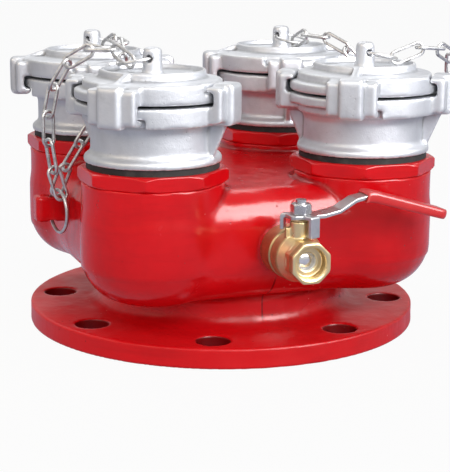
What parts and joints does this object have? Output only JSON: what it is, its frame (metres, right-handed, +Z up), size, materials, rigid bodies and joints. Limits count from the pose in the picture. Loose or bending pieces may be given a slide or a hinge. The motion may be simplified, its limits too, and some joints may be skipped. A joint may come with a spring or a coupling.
{
  "type": "fire department connection",
  "caption": "Red cast fire department connection: claw-coupled inlets with chained blank caps on a chamber over a bolted base flange, with a brass drain ball valve.",
  "frame": {"origin": "on the body's upright axis at the base flange's underside", "axes": "+Z up along the body's axis, -Y towards the drain valve, +X to the right seen from the drain valve"},
  "size_m": [0.2978, 0.3065, 0.205],
  "materials": {
    "red_paint": "gloss",
    "cast_aluminium": "satin cast",
    "black_rubber": "matte",
    "grey_rubber": "matte",
    "bronze": "machined",
    "zinc_steel": "zinc plated",
    "spring_steel": "bright",
    "brass": "cast, turned bands",
    "white_seat": "satin",
    "chromed_ball": "polished",
    "stainless": "brushed",
    "red_plastic": "gloss"
  },
  "bodies": {
    "valve_body": {"body_casting": "red_paint", "inlet_bush_fl": "red_paint", "inlet_bush_fr": "red_paint", "inlet_bush_bl": "red_paint", "inlet_bush_br": "red_paint", "coupling_gaskets": "black_rubber", "coupling_seals": "grey_rubber", "check_spiders": "bronze", "coupling_fl": "cast_aluminium", "coupling_fr": "cast_aluminium", "coupling_bl": "cast_aluminium", "coupling_br": "cast_aluminium", "chain_fl": "zinc_steel", "chain_fr": "zinc_steel", "chain_bl": "zinc_steel", "chain_br": "zinc_steel", "lug_ring_left": "zinc_steel", "lug_ring_right": "zinc_steel", "check_spring_fl": "spring_steel", "check_spring_fr": "spring_steel", "check_spring_bl": "spring_steel", "check_spring_br": "spring_steel", "drain_nipple": "brass", "drain_body": "brass", "drain_retainer": "brass", "drain_seats": "white_seat", "drain_packing": "white_seat", "drain_gland": "brass"},
    "cap_fl_turning": {"cap_fl": "cast_aluminium", "cap_seal_fl": "grey_rubber", "cap_ring_fl": "zinc_steel"},
    "cap_fr_turning": {"cap_fr": "cast_aluminium", "cap_seal_fr": "grey_rubber", "cap_ring_fr": "zinc_steel"},
    "cap_bl_turning": {"cap_bl": "cast_aluminium", "cap_seal_bl": "grey_rubber", "cap_ring_bl": "zinc_steel"},
    "cap_br_turning": {"cap_br": "cast_aluminium", "cap_seal_br": "grey_rubber", "cap_ring_br": "zinc_steel"},
    "check_valve_fl": {"check_disc_fl": "bronze", "check_seal_fl": "black_rubber", "check_collar_fl": "bronze"},
    "check_valve_fr": {"check_disc_fr": "bronze", "check_seal_fr": "black_rubber", "check_collar_fr": "bronze"},
    "check_valve_bl": {"check_disc_bl": "bronze", "check_seal_bl": "black_rubber", "check_collar_bl": "bronze"},
    "check_valve_br": {"check_disc_br": "bronze", "check_seal_br": "black_rubber", "check_collar_br": "bronze"},
    "drain_handle": {"drain_ball": "chromed_ball", "drain_stem": "brass", "drain_lever": "stainless", "drain_nut": "stainless", "drain_grip": "red_plastic"}
  },
  "joints": [
    {"name": "cap_fl_turn", "type": "hinge", "parent": "valve_body", "child": "cap_fl_turning", "pos_m": [-0.076, -0.076, 0.18], "axis": [0, 0, 1], "range_deg": [-45, 0]},
    {"name": "cap_fr_turn", "type": "hinge", "parent": "valve_body", "child": "cap_fr_turning", "pos_m": [0.076, -0.076, 0.18], "axis": [0, 0, 1], "range_deg": [-45, 0]},
    {"name": "cap_bl_turn", "type": "hinge", "parent": "valve_body", "child": "cap_bl_turning", "pos_m": [-0.076, 0.076, 0.18], "axis": [0, 0, 1], "range_deg": [-45, 0]},
    {"name": "cap_br_turn", "type": "hinge", "parent": "valve_body", "child": "cap_br_turning", "pos_m": [0.076, 0.076, 0.18], "axis": [0, 0, 1], "range_deg": [-45, 0]},
    {"name": "check_fl_open", "type": "slide", "parent": "valve_body", "child": "check_valve_fl", "axis": [0, 0, -1], "range_m": [0, 0.018], "stiffness_N_per_m": 600, "springref_m": -0.006, "deforming": ["check_spring_fl"]},
    {"name": "check_fr_open", "type": "slide", "parent": "valve_body", "child": "check_valve_fr", "axis": [0, 0, -1], "range_m": [0, 0.018], "stiffness_N_per_m": 600, "springref_m": -0.006, "deforming": ["check_spring_fr"]},
    {"name": "check_bl_open", "type": "slide", "parent": "valve_body", "child": "check_valve_bl", "axis": [0, 0, -1], "range_m": [0, 0.018], "stiffness_N_per_m": 600, "springref_m": -0.006, "deforming": ["check_spring_bl"]},
    {"name": "check_br_open", "type": "slide", "parent": "valve_body", "child": "check_valve_br", "axis": [0, 0, -1], "range_m": [0, 0.018], "stiffness_N_per_m": 600, "springref_m": -0.006, "deforming": ["check_spring_br"]},
    {"name": "drain_lever_turn", "type": "hinge", "parent": "valve_body", "child": "drain_handle", "pos_m": [0, -0.147, 0.1], "axis": [0, 0, 1], "range_deg": [-90, 0]}
  ]
}
